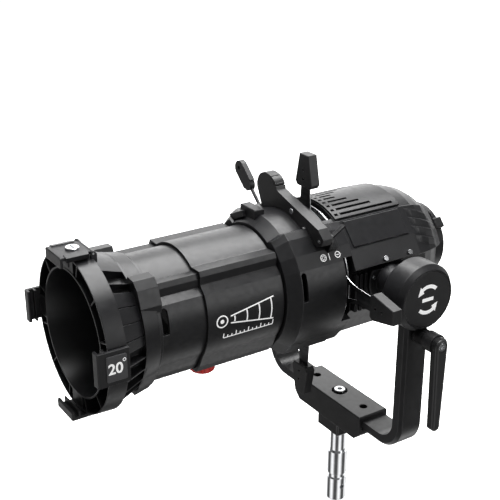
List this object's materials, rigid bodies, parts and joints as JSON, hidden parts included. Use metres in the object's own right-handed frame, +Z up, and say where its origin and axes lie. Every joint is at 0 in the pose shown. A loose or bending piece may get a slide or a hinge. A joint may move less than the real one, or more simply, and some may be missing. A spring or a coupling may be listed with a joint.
{
  "type": "ellipsoidal spotlight",
  "caption": "Profile spotlight barrel with sliding lens tube, framing shutters, iris and slot gate, tilting in a yoke on a stand spigot.",
  "frame": {"origin": "on the axis of the stand spigot, at its upper shoulder", "axes": "+X across the yoke towards the clamp lever, the beam leaves along -Y, +Z up"},
  "size_m": [0.371, 0.535, 0.528],
  "materials": {
    "black_casting": "fine-textured black powder coat",
    "black_steel": "satin black paint",
    "black_plastic": "moulded, lightly textured",
    "anodised": "satin dark anodised",
    "chrome": "polished",
    "steel": "brushed",
    "red_plastic": "moulded red, fluted",
    "label": "printed plate",
    "lens_glass": "polished, coated",
    "friction": "friction lining"
  },
  "bodies": {
    "base": {"base_block": "anodised", "arm_screws": "steel", "spigot_boss": "anodised", "stand_spigot": "chrome", "spigot_bolt": "chrome", "spigot_washer": "chrome", "yoke_arm_right": "anodised", "yoke_arm_left": "anodised", "pivot_housings": "black_casting", "pivot_covers": "black_plastic", "clamp_nut": "steel"},
    "clamp": {"clamp_stud": "black_steel", "clamp_handle": "black_plastic", "clamp_screw": "chrome"},
    "head": {"tilt_shafts": "steel", "friction_discs": "friction", "tilt_brackets": "black_casting", "head_screws": "chrome", "gate_housing": "black_casting", "gate_plate": "black_casting", "top_block": "black_casting", "iris_frame": "black_casting", "iris_leaves": "black_steel", "slot_hinge": "black_steel", "slot_pin": "steel", "guide_tube": "black_casting", "shutter_guides": "steel", "shutter_posts": "steel", "head_shell": "black_casting", "fin_cover": "black_casting", "side_covers": "black_casting", "heatsinks": "black_casting", "rear_collar": "black_casting", "condenser_cell": "black_casting", "condenser_lenses": "lens_glass"},
    "lens_carriage": {"front_holder": "black_casting", "lens_tube": "black_casting", "frame_clips": "black_casting", "top_clip_pin": "steel", "number_plate": "label", "front_lens": "lens_glass", "rear_lens": "lens_glass", "lens_rings": "black_steel"},
    "top_clip": {"top_clip": "black_casting", "top_clip_screw": "chrome"},
    "focus_knob": {"focus_knob": "red_plastic"},
    "iris": {"iris_ring": "black_casting", "iris_paddle": "black_plastic"},
    "slot_gate": {"slot_gate": "black_plastic", "slot_catch": "chrome"},
    "bayonet": {"bayonet_ring": "steel", "lock_lever": "black_plastic"},
    "shutter_top": {"shutter_blade_top": "steel", "shutter_grip_top": "black_plastic"},
    "shutter_right": {"shutter_blade_right": "steel", "shutter_grip_right": "black_plastic"},
    "shutter_bottom": {"shutter_blade_bottom": "steel", "shutter_grip_bottom": "black_plastic"},
    "shutter_left": {"shutter_blade_left": "steel", "shutter_grip_left": "black_plastic"}
  },
  "joints": [
    {"name": "head_tilt", "type": "hinge", "parent": "base", "child": "head", "pos_m": [0, 0, 0.297], "axis": [1, 0, 0], "range_deg": [-90, 45]},
    {"name": "clamp_turn", "type": "hinge", "parent": "base", "child": "clamp", "pos_m": [0.147, 0, 0.246], "axis": [1, 0, 0], "range_deg": [-60, 60]},
    {"name": "focus_slide", "type": "slide", "parent": "head", "child": "lens_carriage", "axis": [0, 1, 0], "range_m": [-0.014, 0.044]},
    {"name": "knob_turn", "type": "hinge", "parent": "lens_carriage", "child": "focus_knob", "pos_m": [0, -0.22, 0.2], "axis": [0, 0, 1], "range_deg": [-180, 180]},
    {"name": "top_clip_flip", "type": "hinge", "parent": "lens_carriage", "child": "top_clip", "pos_m": [0, -0.366, 0.3913], "axis": [-1, 0, 0], "range_deg": [0, 100]},
    {"name": "iris_turn", "type": "hinge", "parent": "head", "child": "iris", "pos_m": [0, -0.086, 0.297], "axis": [0, 1, 0], "range_deg": [-36, 20]},
    {"name": "slot_gate_open", "type": "hinge", "parent": "head", "child": "slot_gate", "pos_m": [0.08, -0.097, 0.367], "axis": [0, 1, 0], "range_deg": [0, 75]},
    {"name": "bayonet_turn", "type": "hinge", "parent": "head", "child": "bayonet", "pos_m": [0, 0.12, 0.297], "axis": [0, -1, 0], "range_deg": [0, 20]},
    {"name": "shutter_top_slide", "type": "slide", "parent": "head", "child": "shutter_top", "axis": [0, 0, 1], "range_m": [-0.008, 0.031]},
    {"name": "shutter_right_slide", "type": "slide", "parent": "head", "child": "shutter_right", "axis": [1, 0, 0], "range_m": [-0.036, 0.003]},
    {"name": "shutter_bottom_slide", "type": "slide", "parent": "head", "child": "shutter_bottom", "axis": [0, 0, -1], "range_m": [-0.039, 0]},
    {"name": "shutter_left_slide", "type": "slide", "parent": "head", "child": "shutter_left", "axis": [-1, 0, 0], "range_m": [-0.036, 0.003]}
  ]
}
